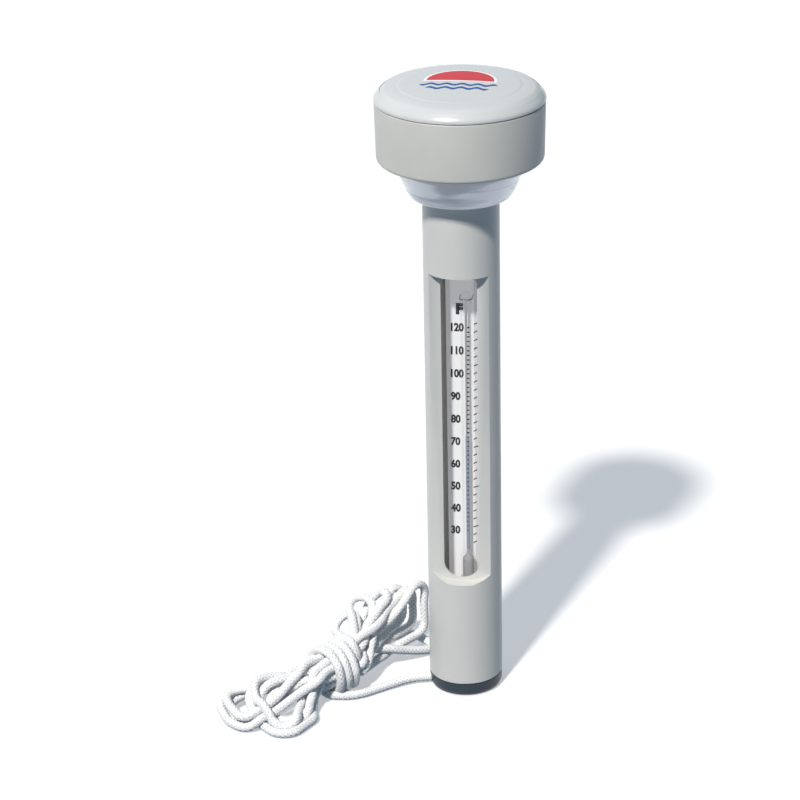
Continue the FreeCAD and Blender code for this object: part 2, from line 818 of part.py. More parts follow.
def hank_section(x, y, half, height, heading):
    """One upright rounded section of the hank, across its heading, standing on the floor."""
    across = Vector(heading.y, -heading.x, 0)
    corner = 0.42 * min(2 * half, height)
    low = 0.1
    centre = Vector(x, y, 0)
    flat = half - corner
    diagonal = corner * math.sqrt(0.5)

    def place(side, up):
        return centre + across * side + Vector(0, 0, up)

    edges = []
    for side, up, out, lift in (
        (1, low + corner, 1, -1),
        (1, height - corner, 1, 1),
        (-1, height - corner, -1, 1),
        (-1, low + corner, -1, -1),
    ):
        start = place(out * half, up)
        end = place(out * flat, up + lift * corner)
        middle = place(out * (flat + diagonal), up + lift * diagonal)
        ends = (end, start) if (side > 0) == (lift < 0) else (start, end)
        edges.append(Part.Arc(ends[0], middle, ends[1]).toShape())
    closed = []
    for i, edge in enumerate(edges):
        closed.append(edge)
        following = edges[(i + 1) % len(edges)]
        closed.append(
            Part.LineSegment(edge.Vertexes[-1].Point, following.Vertexes[0].Point).toShape()
        )
    return Part.Wire(closed)


def make_hank():
    """One closed solid of the hank's outer shape, lofted through its sections."""
    centres = [Vector(x, y, 0) for x, y, _, _ in HANK_STATIONS]
    sections = []
    for i, (x, y, half, height) in enumerate(HANK_STATIONS):
        heading = centres[min(i + 1, len(centres) - 1)] - centres[max(i - 1, 0)]
        heading.normalize()
        sections.append(hank_section(x, y, half, height, heading))
    hank = doc.addObject("Part::Feature", "Loft_cord_hank")
    hank.Shape = Part.makeLoft(sections, True, True)
    hank.Label = "cord_hank"
    return hank


# ---------------------------------------------------------------------------- assembly


def check_and_write(parts):
    """Refuse a failed object or an empty or invalid shape, then write one STEP file per node."""
    doc.recompute()
    failed = [o.Name for o in doc.Objects if "Invalid" in o.State or "Error" in o.State]
    if failed:
        raise ValueError("failed objects: " + ", ".join(failed))
    for part in parts:
        if part.Shape.isNull() or not part.Shape.isValid() or not part.Shape.Solids:
            raise ValueError("bad shape: " + part.Label)
    os.makedirs("parts", exist_ok=True)
    for part in parts:
        part.Shape.exportStep(os.path.join("parts", part.Label + ".step"))
        box = part.Shape.BoundBox
        print(f"{part.Label:20s} {len(part.Shape.Solids)} solid, {part.Shape.Volume:9.1f} mm3,"
              f" z {box.ZMin:.1f} to {box.ZMax:.1f}")


fill_sheet()
gasket_low = "<skirtFoot> + <skirtFloor>"
nodes = [
    make_lid(),
    make_lid_seal(),
    make_skirt(),
    make_ring("bowl_gasket", "<bowlTopRad> + 0.2", "<bowlFlangeRad>", gasket_low, "<gasketThick>"),
    make_bowl(),
    make_lock_nut(),
    make_neck_seal(),
    make_stem(),
    make_cap(),
    make_ring("ballast_ring", "<knotPocketRad>", "<cupRad>", "<cupFloor>", "<ballastTop> - <cupFloor>"),
    make_lower_bush(),
    make_clear_tube(),
    make_stopper(),
    make_key_bush(),
    make_card(),
    make_glass(),
    make_reservoir(),
    make_cylinder("bulb_cushion", "<clearBore>", "<clearLow> + <clearFoot>",
                  "<bulbLow> - <clearLow> - <clearFoot>"),
    make_staple("upper_staple", "<stapleHigh>", dim("glassRad")),
    make_staple("lower_staple", "<stapleLow>", dim("bulbRad")),
    make_cylinder("spirit_column", "<threadRad>", "<bulbHigh> - 0.6",
                  "<readingTop> - <bulbHigh> + 0.6", "<glassX>", "<glassY>"),
    make_lead(),
    make_knot(),
    make_hank(),
]
doc.removeObject("Probe")
check_and_write(nodes)
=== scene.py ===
import math

import bmesh
import bpy
import numpy as np
from mathutils import Matrix, Vector


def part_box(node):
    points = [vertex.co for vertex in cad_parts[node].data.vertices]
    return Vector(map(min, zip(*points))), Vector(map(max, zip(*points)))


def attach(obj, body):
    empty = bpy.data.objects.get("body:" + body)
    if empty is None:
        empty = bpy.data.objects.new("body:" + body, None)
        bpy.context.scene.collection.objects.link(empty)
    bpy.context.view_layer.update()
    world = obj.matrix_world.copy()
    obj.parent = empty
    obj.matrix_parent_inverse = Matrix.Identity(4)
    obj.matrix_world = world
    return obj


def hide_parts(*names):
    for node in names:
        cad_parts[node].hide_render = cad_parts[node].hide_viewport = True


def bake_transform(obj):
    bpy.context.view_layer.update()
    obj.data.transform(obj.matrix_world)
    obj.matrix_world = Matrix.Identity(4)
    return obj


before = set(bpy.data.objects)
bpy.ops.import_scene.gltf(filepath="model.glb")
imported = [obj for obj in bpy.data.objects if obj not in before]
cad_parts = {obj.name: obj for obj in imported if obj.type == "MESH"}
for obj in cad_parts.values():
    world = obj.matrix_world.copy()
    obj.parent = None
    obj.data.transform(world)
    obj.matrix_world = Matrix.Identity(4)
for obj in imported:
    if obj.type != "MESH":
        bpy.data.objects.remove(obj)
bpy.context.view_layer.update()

scene = bpy.context.scene
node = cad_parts
MM = 0.001

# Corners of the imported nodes' boxes, in metres.
cap_low, cap_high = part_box("bottom_cap")
stem_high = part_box("stem_tube")[1]
lid_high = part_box("float_lid")[1]
skirt_low, skirt_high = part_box("float_skirt")
card_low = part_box("scale_card")[0]
column_low, column_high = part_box("spirit_column")

# Levels and radii of the float head, in millimetres.
SEAM_GAP = 0.1
SEAM = skirt_high.z / MM + SEAM_GAP
TOP = lid_high.z / MM
RIM = lid_high.x / MM
WALL = skirt_high.x / MM
FOOT = skirt_low.z / MM
BOWL_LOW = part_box("float_bowl")[0].z / MM


# ------------------------------------------------------------------ camera

# The camera looks down on the window's side from a little to its right, through a long lens.
CAMERA_SENSOR = 36
CAMERA_LENS = 122.4
CAMERA_TURN = math.radians(9.0)
CAMERA_TILT = math.radians(23.79)
CAMERA_ROLL = math.radians(1.227)
CAMERA_REACH = 0.9374
CAMERA_TARGET = Vector((-0.02172, 0.0, 0.1106))


def make_camera():
    """Place the camera: tilted down and rolled, then turned about the stem's axis."""
    back = Vector((0, -math.cos(CAMERA_TILT), math.sin(CAMERA_TILT)))
    level = Vector((1, 0, 0))
    up = back.cross(level)
    right = level * math.cos(CAMERA_ROLL) - up * math.sin(CAMERA_ROLL)
    up = level * math.sin(CAMERA_ROLL) + up * math.cos(CAMERA_ROLL)
    turn = Matrix.Rotation(CAMERA_TURN, 3, "Z")
    data = bpy.data.cameras.new("camera")
    data.sensor_width = CAMERA_SENSOR
    data.lens = CAMERA_LENS
    data.clip_start = 0.05
    camera = bpy.data.objects.new("camera", data)
    scene.collection.objects.link(camera)
    axes = turn @ Matrix((right, up, back)).transposed()
    place = turn @ (CAMERA_TARGET + back * CAMERA_REACH)
    camera.matrix_world = Matrix.Translation(place) @ axes.to_4x4()
    scene.camera = camera


make_camera()


# ------------------------------------------------------------------ cord

# Lengths in this section are in millimetres, unless MM is in them.
THICK = 3.2
CORD = THICK * MM
# The lead: from the knot out of the cap's side hole, down to the floor and along it.
LEAD_ROUTE = [
    (-4.0, -3.0, 2.45),
    (-16.0, -3.0, 2.45),
    (-27.0, -10.4, 1.6),
    (-36.6, -19.0, 1.6),
    (-45.0, -19.9, 1.6),
]
# The wrap that ties the bundle: a helix round the bundle's axis.
WRAP_CENTRE = np.array([-45.5, -13.2, 10.2])
WRAP_RADIUS = 8.5
WRAP_TURNS = 3.6
WRAP_START = -5.6
WRAP_PITCH = 3.3
WRAP_STEPS = 16
JOIN_TURN = 0.22
AFTER_JOIN = 0.23
JOIN_REACH = 4.5
# Each bight of the hank: heading of its tip from the wrap, reach, tip height, width, roll, and how
# full it is: a small number keeps its two strands together up to a round eye at the tip.
FAR_BIGHTS = [
    (54, 46, 18, 20, 88, 0.5),
    (75, 26, 26, 9, 12, 0.75),
    (58, 43, 18, 15, 86, 0.5),
    (68, 33, 25, 9.5, -30, 0.55),
    (53, 46, 3, 13, 10, 0.7),
    (62, 40, 21, 13, 76, 0.55),
    (90, 22, 19, 10, -35, 0.55),
]
NEAR_BIGHTS = [
    (236, 36.5, 2, 28, -38, 0.95),
    (218, 43.5, 3, 21, -8, 0.75),
    (236, 33.4, 2.5, 21.5, -38, 0.95),
    (218, 40.2, 3, 14.5, -8, 0.75),
    (235, 35.2, 6, 24.5, -34, 0.95),
    (236, 30, 3.5, 15, -38, 0.9),
    (219, 41.6, 6.5, 17.5, -8, 0.75),
]
# Strands cross the wrap at numbered places: four in the middle of the bundle, ten round them.
INNER_SLOTS = 4
INNER_RADIUS = 2.3
OUTER_RADIUS = 5.5
# The order in which the cord takes them, and the one its free end takes.
SLOT_ORDER = [7, 0, 6, 4, 3, 13, 1, 9, 11, 10, 2, 8, 5, 12]
FREE_END_SLOT = 11
# How far from the wrap's middle the bights start, and how finely they are drawn.
MOUTH = 7.0
BIGHT_POINTS = 25
BIGHT_ENDS = 0.96


def heading_of(degrees):
    """A level direction."""
    angle = math.radians(degrees)
    return np.array([math.cos(angle), math.sin(angle), 0.0])


AXIS = heading_of(44)
ACROSS = np.array([-AXIS[1], AXIS[0], 0.0])
UP = np.array([0.0, 0.0, 1.0])


def slot_in_bundle(k):
    """The place of strand k in the tied bundle, from the bundle's middle."""
    if k < INNER_SLOTS:
        angle, out = math.radians(45 + 90 * k), INNER_RADIUS
    else:
        angle, out = math.radians(36 * k), OUTER_RADIUS
    return out * (math.cos(angle) * ACROSS + math.sin(angle) * UP)


def bight(side, first, last, heading, reach, high, width, roll, full):
    """One loop of the hank, out from the bundle at one slot and back at another."""
    mouth = WRAP_CENTRE + side * MOUTH * AXIS
    out = heading_of(heading)
    tip = WRAP_CENTRE + out * reach
    tip[2] = high
    level = np.array([-out[1], out[0], 0.0])
    tilt = math.radians(roll)
    spread = side * (math.cos(tilt) * level + math.sin(tilt) * UP)
    points = []
    for s in np.linspace(-BIGHT_ENDS, BIGHT_ENDS, BIGHT_POINTS):
        t = 0.5 + 0.5 * s
        ease = t * t * (3 - 2 * t)
        base = mouth + slot_in_bundle(first) * (1 - ease) + slot_in_bundle(last) * ease
        along = 1 - abs(s) ** 2.1
        sideways = 0.5 * width * math.copysign(math.sin(math.pi * abs(s) ** full), s)
        points.append(base + (tip - base) * along + spread * sideways)
    return points


def wrap_point(turn):
    """A place on the wrap round the bundle, from its foot, after so many turns."""
    angle = 2 * math.pi * turn
    out = math.sin(angle) * ACROSS - math.cos(angle) * UP
    return WRAP_CENTRE + AXIS * (WRAP_START + WRAP_PITCH * turn) + WRAP_RADIUS * out


def hank_route(start, heading):
    """The turns of the hank: from the lead's end round the bundle, then to and fro through it."""
    join = wrap_point(JOIN_TURN)
    rising = wrap_point(AFTER_JOIN) - join
    rising = rising / np.linalg.norm(rising)
    near, far = start + heading * JOIN_REACH, join - rising * JOIN_REACH
    points = []
    for t in np.linspace(0.1, 0.9, 9):
        points.append(
            start * (1 - t) ** 3
            + near * 3 * t * (1 - t) ** 2
            + far * 3 * t * t * (1 - t)
            + join * t ** 3
        )
    for turn in np.arange(JOIN_TURN, WRAP_TURNS, 1 / WRAP_STEPS):
        points.append(wrap_point(turn))
    for k, (far_bight, near_bight) in enumerate(zip(FAR_BIGHTS, NEAR_BIGHTS)):
        first, last = SLOT_ORDER[2 * k], SLOT_ORDER[2 * k + 1]
        following = SLOT_ORDER[(2 * k + 2) % len(SLOT_ORDER)]
        points += bight(1, first, last, *far_bight)
        points += bight(-1, last, following, *near_bight)
    end = slot_in_bundle(FREE_END_SLOT)
    points.append(WRAP_CENTRE + end)
    points.append(WRAP_CENTRE + end + AXIS * 8)
    points.append(WRAP_CENTRE + end + AXIS * 15 - ACROSS * 1 - UP * 3.0)
    return np.array(points)


def even_points(points, step):
    """Points an even distance apart along a polyline."""
    lengths = np.linalg.norm(np.diff(points, axis=0), axis=1)
    along = np.concatenate([[0], np.cumsum(lengths)])
    count = int(round(along[-1] / step)) + 1
    wanted = np.linspace(0, along[-1], count)
    return np.stack([np.interp(wanted, along, points[:, i]) for i in range(3)], axis=1)


# How the strands settle: shares and distances moved in each round, and the distances kept.
SMOOTHING = 0.05
PULL_BACK = 0.018
SINK = 0.02
CLEARANCE = 1.02
MOST_OVERLAP = 0.8
PUSH_APART = 0.35
PAIRS_EVERY = 4
PAIR_REACH = 1.6
SAME_STRETCH = 3
LEAST_GAP = 0.05
LENGTH_PASSES = 3
LEAST_CHORD = 7.0
OPEN_UP = 0.4
FLOOR_HEIGHT = 1.66


def settle(points, held, step, rounds):
    """Let the strands push apart, keep their length, bend gently and rest on the floor."""
    place = points.copy()
    free = np.ones((len(place), 1))
    free[:held] = 0
    index = np.arange(len(place))
    for turn in range(rounds):
        smooth = 0.5 * (place[:-2] + place[2:]) - place[1:-1]
        place[1:-1] += SMOOTHING * smooth * free[1:-1]
        place += PULL_BACK * (points - place) * free
        place[:, 2] -= SINK * free[:, 0]
        if turn % PAIRS_EVERY == 0:
            pairs_a, pairs_b = near_pairs(place, index)
        gap = place[pairs_a] - place[pairs_b]
        far = np.linalg.norm(gap, axis=1)
        overlap = np.clip(THICK * CLEARANCE - far, 0, MOST_OVERLAP)
        push = overlap / np.maximum(far, LEAST_GAP) * PUSH_APART
        move = gap * push[:, None]
        np.add.at(place, pairs_a, move * free[pairs_a])
        np.add.at(place, pairs_b, -move * free[pairs_b])
        for _ in range(LENGTH_PASSES):
            for start in (0, 1):
                a = place[start:-1:2]
                b = place[start + 1::2]
                count = min(len(a), len(b))
                line = b[:count] - a[:count]
                size = np.linalg.norm(line, axis=1)[:, None]
                fix = 0.5 * line * (size - step) / size
                place[start:-1:2][:count] += fix * free[start:-1:2][:count]
                place[start + 1::2][:count] -= fix * free[start + 1::2][:count]
        chord = place[4:] - place[:-4]
        size = np.linalg.norm(chord, axis=1)[:, None]
        open_up = np.clip(LEAST_CHORD - size, 0, 1) / size * OPEN_UP
        place[4:] += chord * open_up * free[4:]
        place[:-4] -= chord * open_up * free[:-4]
        low = place[:, 2] < FLOOR_HEIGHT
        place[low & (free[:, 0] > 0), 2] = FLOOR_HEIGHT
    return place


def near_pairs(place, index):
    """Pairs of points on different stretches that are close enough to touch soon."""
    far = np.linalg.norm(place[:, None, :] - place[None, :, :], axis=2)
    touching = (far < THICK * PAIR_REACH) & (index[None, :] - index[:, None] > SAME_STRETCH)
    return np.nonzero(touching)


def route_curve(points):
    """An open NURBS spline through the route's points, with no bevel."""
    data = bpy.data.curves.new("cord_route", "CURVE")
    data.dimensions = "3D"
    spline = data.splines.new("NURBS")
    spline.points.add(len(points) - 1)
    for point, place in zip(spline.points, points):
        point.co = (*(float(c) for c in place), 1.0)
    spline.order_u = 3
    spline.use_endpoint_u = True
    spline.resolution_u = 6
    return data


def curve_line(data):
    """The points of the spline as Blender draws it."""
    holder = bpy.data.objects.new("cord_route", data)
    scene.collection.objects.link(holder)
    bpy.context.view_layer.update()
    mesh = bpy.data.meshes.new_from_object(holder)
    line = np.array([v.co for v in mesh.vertices], float)
    bpy.data.objects.remove(holder)
    bpy.data.meshes.remove(mesh)
    return line


# The braid: strands each way, how far along one goes round, and how much it stands out.
BRAID_STRANDS = 6
BRAID_TURN = 9.6 * MM
BRAID_CORE = 0.76
BRAID_RELIEF = 0.28
RING_STEP = 0.32 * MM
CORD_SIDES = 20
KNOT_SIDES = 22


def braid_height(around, along):
    """How far the braid stands out: strands that pass over and under each other on a slant."""
    u = BRAID_STRANDS * (around / (2 * math.pi) + along / BRAID_TURN)
    v = BRAID_STRANDS * (around / (2 * math.pi) - along / BRAID_TURN)
    over = (np.floor(u) + np.floor(v)) % 2 == 0
    across = np.where(over, v, u) % 1.0
    lengthways = np.where(over, u, v) % 1.0
    lobe = np.sqrt(np.clip(1 - (2 * across - 1) ** 2, 0, 1))
    arch = np.sin(math.pi * lengthways) ** 0.6
    return lobe * (0.25 + 0.75 * arch)


def braided_tube(name, line, thick, step, sides):
    """A closed tube along a line, with the braid's relief."""
    line = even_points(line, step)
    ahead = np.gradient(line, axis=0)
    ahead /= np.linalg.norm(ahead, axis=1)[:, None]
    up = np.array([0.0, 0.0, 1.0])
    ups = []
    for t in ahead:
        up = up - t * up.dot(t)
        up = up / np.linalg.norm(up)
        ups.append(up)
    ups = np.array(ups)
    lefts = np.cross(ahead, ups)
    around = np.linspace(0, 2 * math.pi, sides, endpoint=False)
    along = np.arange(len(line)) * step
    height = braid_height(around[None, :], along[:, None])
    radius = 0.5 * thick * (BRAID_CORE + BRAID_RELIEF * height)
    rings = line[:, None, :] + radius[..., None] * (
        np.cos(around)[None, :, None] * ups[:, None, :]
        + np.sin(around)[None, :, None] * lefts[:, None, :]
    )
    places = rings.reshape(-1, 3)
    count = len(line)
    ring = np.arange(count - 1)[:, None] * sides
    side = np.arange(sides)[None, :]
    after = (side + 1) % sides
    quad = [ring + side, ring + after, ring + sides + after, ring + sides + side]
    faces = np.stack(quad, axis=-1).reshape(-1, 4).tolist()
    faces.append(list(range(sides))[::-1])
    faces.append(list(range((count - 1) * sides, count * sides)))
    mesh = bpy.data.meshes.new(name)
    mesh.from_pydata(places.tolist(), [], faces)
    mesh.validate()
    relief = mesh.attributes.new("relief", "FLOAT", "POINT")
    relief.data.foreach_set("value", height.reshape(-1).astype(np.float32))
    piece = bpy.data.objects.new(name, mesh)
    scene.collection.objects.link(piece)
    for polygon in mesh.polygons:
        polygon.use_smooth = True
    return piece


# The knot is a trefoil with its ends apart, in millimetres.
KNOT_MIDDLE = (-0.2, -0.1, 3.95)
KNOT_SIZE = 1.28
KNOT_RISE = 1.35
KNOT_GAP = 0.25
KNOT_POINTS = 40


def make_knot():
    """The overhand knot that stops the cord inside the cap."""
    x, y, z = KNOT_MIDDLE
    points = []
    for t in np.linspace(KNOT_GAP, 2 * math.pi - KNOT_GAP, KNOT_POINTS):
        points.append((x + KNOT_SIZE * (math.sin(t) + 2 * math.sin(2 * t)),
                       y + KNOT_SIZE * (math.cos(t) - 2 * math.cos(2 * t)),
                       z - KNOT_RISE * math.sin(3 * t)))
    line = curve_line(route_curve(np.array(points) * MM))
    piece = braided_tube("knot", line, CORD, RING_STEP, KNOT_SIDES)
    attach(piece, "insert")
    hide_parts("cord_knot")
    return piece


# Distances between points while the cord settles, in millimetres, and on its finished line.
STEP = 2.0
LINE_STEP = 0.4 * MM
# The first points stay where the lead ends.
HELD_POINTS = 3
ROUNDS = 500
lead = np.array(LEAD_ROUTE)
heading = (lead[-1] - lead[-2]) / np.linalg.norm(lead[-1] - lead[-2])
turns = even_points(np.vstack([lead[-1:], hank_route(lead[-1], heading)]), STEP)
turns = settle(turns, HELD_POINTS, STEP, ROUNDS)
route = np.vstack([lead, turns[1:]]) * MM
line = even_points(curve_line(route_curve(route)), LINE_STEP)
cord = braided_tube("cord", line, CORD, RING_STEP, CORD_SIDES)
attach(cord, "insert")
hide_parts("cord_lead", "cord_hank")
knot = make_knot()


# ------------------------------------------------------------------ materials

def link(tree, a, out, b, inp):
    """Join one node's output to another's input."""
    tree.links.new(a.outputs[out], b.inputs[inp])


def shader_of(material):
    """The material's main shader."""
    return material.node_tree.nodes["Principled BSDF"]


def colour_ends(ramp, low, high):
    """Set the two colours that a ramp runs between."""
    ramp.color_ramp.elements[0].color = (*low, 1)
    ramp.color_ramp.elements[1].color = (*high, 1)


def position_ends(ramp, low, high):
    """Set where a ramp starts and stops."""
    ramp.color_ramp.elements[0].position = low
    ramp.color_ramp.elements[1].position = high


def plastic(name, base, rough, spread=0.03, grain=900, bump=0.02, coat=0.0, cloud=60):
    """A moulded plastic: slow colour change, uneven gloss and a very fine skin texture."""
    material = bpy.data.materials.new(name)
    material.use_nodes = True
    tree = material.node_tree
    shader = tree.nodes["Principled BSDF"]
    place = tree.nodes.new("ShaderNodeTexCoord")
    slow = tree.nodes.new("ShaderNodeTexNoise")
    slow.inputs["Scale"].default_value = cloud
    slow.inputs["Detail"].default_value = 4
    link(tree, place, "Object", slow, "Vector")
    ramp = tree.nodes.new("ShaderNodeValToRGB")
    position_ends(ramp, 0.3, 0.7)
    colour_ends(ramp, [c * (1 - spread) for c in base], [min(1, c * (1 + spread)) for c in base])
    link(tree, slow, "Fac", ramp, "Fac")
    link(tree, ramp, "Color", shader, "Base Color")
    fine = tree.nodes.new("ShaderNodeTexNoise")
    fine.inputs["Scale"].default_value = grain
    fine.inputs["Detail"].default_value = 3
    link(tree, place, "Object", fine, "Vector")
    gloss = tree.nodes.new("ShaderNodeMapRange")
    gloss.inputs["To Min"].default_value = rough - 0.05
    gloss.inputs["To Max"].default_value = rough + 0.05
    link(tree, slow, "Fac", gloss, "Value")
    link(tree, gloss, "Result", shader, "Roughness")
    relief = tree.nodes.new("ShaderNodeBump")
    relief.inputs["Strength"].default_value = 1.0
    relief.inputs["Distance"].default_value = bump * MM
    link(tree, fine, "Fac", relief, "Height")
    link(tree, relief, "Normal", shader, "Normal")
    shader.inputs["Coat Weight"].default_value = coat
    shader.inputs["Coat Roughness"].default_value = 0.08
    return material


def clear_film(name, tint, edge_gloss, edge_tint, rough=0.04):
    """A thin clear wall: see-through, glossier towards its edges, and it casts no shadow."""
    material = bpy.data.materials.new(name)
    material.use_nodes = True
    tree = material.node_tree
    tree.nodes.remove(tree.nodes["Principled BSDF"])
    output = tree.nodes["Material Output"]
    through = tree.nodes.new("ShaderNodeBsdfTransparent")
    edge = tree.nodes.new("ShaderNodeLayerWeight")
    edge.inputs["Blend"].default_value = 0.25
    shade = tree.nodes.new("ShaderNodeValToRGB")
    colour_ends(shade, tint, [c * edge_tint for c in tint])
    shade.color_ramp.elements[0].position = 0.7
    link(tree, edge, "Facing", shade, "Fac")
    link(tree, shade, "Color", through, "Color")
    mirror = tree.nodes.new("ShaderNodeBsdfGlossy")
    mirror.inputs["Roughness"].default_value = rough
    mix = tree.nodes.new("ShaderNodeMixShader")
    amount = tree.nodes.new("ShaderNodeMapRange")
    amount.inputs["To Min"].default_value = 0.0
    amount.inputs["To Max"].default_value = edge_gloss
    link(tree, edge, "Fresnel", amount, "Value")
    link(tree, amount, "Result", mix, "Fac")
    tree.links.new(through.outputs[0], mix.inputs[1])
    tree.links.new(mirror.outputs[0], mix.inputs[2])
    rays = tree.nodes.new("ShaderNodeLightPath")
    open_air = tree.nodes.new("ShaderNodeBsdfTransparent")
    whole = tree.nodes.new("ShaderNodeMixShader")
    link(tree, rays, "Is Shadow Ray", whole, "Fac")
    tree.links.new(mix.outputs[0], whole.inputs[1])
    tree.links.new(open_air.outputs[0], whole.inputs[2])
    tree.links.new(whole.outputs[0], output.inputs["Surface"])
    return material


# The bowl's painted reflections: pale streaks of painted highlight drawn out round it, where in
# the noise they start and stop, how much paler its top is painted than its foot, and how strongly
# the dark and the pale ones glow as painted light.
PAINTED_REFLECTION_SCALE = (38, 38, 210)
PAINTED_REFLECTION_FROM = 0.47
PAINTED_REFLECTION_TO = 0.55
PAINTED_TOP_LIGHT = 0.10
GLOW_FULL = 0.56
GLOW_DARK = 0.05
GLOW_PALE = 0.10


def bowl_material():
    """Blue-grey clear plastic with painted reflections: pale streaks of painted highlight run
    round it, its top is painted paler, and the whole bowl glows a little as painted light.
    """
    material = plastic("bowl_plastic", (0.30, 0.36, 0.43), 0.06, grain=300, bump=0.008, coat=1.0)
    tree = material.node_tree
    shader = tree.nodes["Principled BSDF"]
    place = tree.nodes.new("ShaderNodeTexCoord")
    stretch = tree.nodes.new("ShaderNodeMapping")
    stretch.inputs["Scale"].default_value = PAINTED_REFLECTION_SCALE
    painted_reflections = tree.nodes.new("ShaderNodeTexNoise")
    painted_reflections.inputs["Scale"].default_value = 1.0
    painted_reflections.inputs["Detail"].default_value = 1.5
    painted_reflections.inputs["Distortion"].default_value = 0.6
    ramp = tree.nodes.new("ShaderNodeValToRGB")
    position_ends(ramp, PAINTED_REFLECTION_FROM, PAINTED_REFLECTION_TO)
    # Painted reflection: the ramp runs from blue-grey to near-white streaks that stand in for
    # reflected highlights.
    colour_ends(ramp, (0.50, 0.56, 0.62), (0.95, 0.95, 1.0))
    link(tree, place, "Object", stretch, "Vector")
    link(tree, stretch, "Vector", painted_reflections, "Vector")
    heights = tree.nodes.new("ShaderNodeSeparateXYZ")
    link(tree, place, "Object", heights, "Vector")
    # Painted light: the bowl is painted paler towards its top and darker towards its foot.
    painted_top_light = tree.nodes.new("ShaderNodeMapRange")
    painted_top_light.inputs["From Min"].default_value = (BOWL_LOW + 3) * MM
    painted_top_light.inputs["From Max"].default_value = FOOT * MM
    painted_top_light.inputs["To Min"].default_value = -PAINTED_TOP_LIGHT
    painted_top_light.inputs["To Max"].default_value = PAINTED_TOP_LIGHT
    link(tree, heights, "Z", painted_top_light, "Value")
    total = tree.nodes.new("ShaderNodeMath")
    link(tree, painted_reflections, "Fac", total, 0)
    link(tree, painted_top_light, "Result", total, 1)
    link(tree, total, "Value", ramp, "Fac")
    link(tree, ramp, "Color", shader, "Base Color")
    # Painted glow: the bowl emits a little light everywhere, and more in the pale painted streaks.
    painted_glow = tree.nodes.new("ShaderNodeMapRange")
    painted_glow.inputs["From Min"].default_value = PAINTED_REFLECTION_FROM
    painted_glow.inputs["From Max"].default_value = GLOW_FULL
    painted_glow.inputs["To Min"].default_value = GLOW_DARK
    painted_glow.inputs["To Max"].default_value = GLOW_PALE
    link(tree, total, "Value", painted_glow, "Value")
    link(tree, painted_glow, "Result", shader, "Emission Strength")
    shader.inputs["Emission Color"].default_value = (0.93, 0.95, 1.0, 1)
    shader.inputs["Transmission Weight"].default_value = 0.35
    shader.inputs["IOR"].default_value = 1.52
    return material


def cord_material():
    """White cord: bright lobes with painted shade darkening the hollows between them, and fine
    filaments.
    """
    material = plastic("cord", (0.86, 0.858, 0.858), 0.55, grain=5200, bump=0.05, cloud=140)
    tree = material.node_tree
    shader = tree.nodes["Principled BSDF"]
    relief = tree.nodes.new("ShaderNodeAttribute")
    relief.attribute_name = "relief"
    # Painted shade: the colour is darkened in the braid's hollows, where shade falls between the
    # lobes.
    shade = tree.nodes.new("ShaderNodeValToRGB")
    position_ends(shade, 0.1, 0.7)
    colour_ends(shade, (0.50, 0.51, 0.52), (1, 1, 1))
    link(tree, relief, "Fac", shade, "Fac")
    mix = tree.nodes.new("ShaderNodeMix")
    mix.data_type = "RGBA"
    mix.blend_type = "MULTIPLY"
    mix.inputs[0].default_value = 1.0
    base = shader.inputs["Base Color"].links[0].from_socket
    tree.links.new(base, mix.inputs[6])
    tree.links.new(shade.outputs["Color"], mix.inputs[7])
    tree.links.new(mix.outputs[2], shader.inputs["Base Color"])
    shader.inputs["Sheen Weight"].default_value = 0.2
    shader.inputs["Subsurface Weight"].default_value = 0.25
    shader.inputs["Subsurface Radius"].default_value = (1.0, 1.0, 1.0)
    shader.inputs["Subsurface Scale"].default_value = 0.8 * MM
    return material


LID = plastic("lid_plastic", (0.545, 0.555, 0.55), 0.26, spread=0.015, grain=700, bump=0.004,
              coat=0.3)
SKIRT = plastic("skirt_plastic", (0.55, 0.54, 0.505), 0.42, grain=1500, bump=0.012)
STEM = plastic("stem_plastic", (0.57, 0.565, 0.54), 0.32, grain=1500, bump=0.012)
CAP = plastic("cap_plastic", (0.011, 0.024, 0.038), 0.36, spread=0.15, grain=1800, bump=0.02)
STOPPER = plastic("stopper_plastic", (0.35, 0.36, 0.36), 0.5)
WHITE = plastic("white_plastic", (0.6, 0.6, 0.58), 0.45)
CARD = plastic("card", (0.56, 0.555, 0.56), 0.6, spread=0.02, grain=4000, bump=0.004)
# This glow stands in for the light that the clear walls scatter on to the card.
shader_of(CARD).inputs["Emission Color"].default_value = (1, 0.99, 0.98, 1)
shader_of(CARD).inputs["Emission Strength"].default_value = 0.32
INK = plastic("ink", (0.012, 0.012, 0.014), 0.5, spread=0.1, grain=4000, bump=0.002)
RED_INK = plastic("red_ink", (0.55, 0.03, 0.04), 0.35, spread=0.05, grain=2000, bump=0.002)
WHITE_INK = plastic("white_ink", (0.82, 0.82, 0.83), 0.35, spread=0.02, grain=2000, bump=0.002)
BLUE_INK = plastic("blue_ink", (0.008, 0.08, 0.28), 0.35, spread=0.05, grain=2000, bump=0.002)
for print_ink in (RED_INK, WHITE_INK, BLUE_INK):
    shader_of(print_ink).inputs["Specular IOR Level"].default_value = 0.12
FOAM = plastic("foam", (0.5, 0.5, 0.47), 0.9, grain=2500, bump=0.2)
RUBBER = plastic("black_rubber", (0.02, 0.02, 0.02), 0.6, grain=2500, bump=0.02)
STEEL = plastic("steel", (0.5, 0.5, 0.5), 0.28, grain=3000, bump=0.003)
shader_of(STEEL).inputs["Metallic"].default_value = 1.0
GLASS = clear_film("thin_glass", (0.995, 0.998, 1.0), 0.15, 0.93)
CLEAR = clear_film("clear_plastic", (0.995, 0.995, 1.0), 0.3, 0.95)
BOWL = bowl_material()
CORD_SKIN = cord_material()


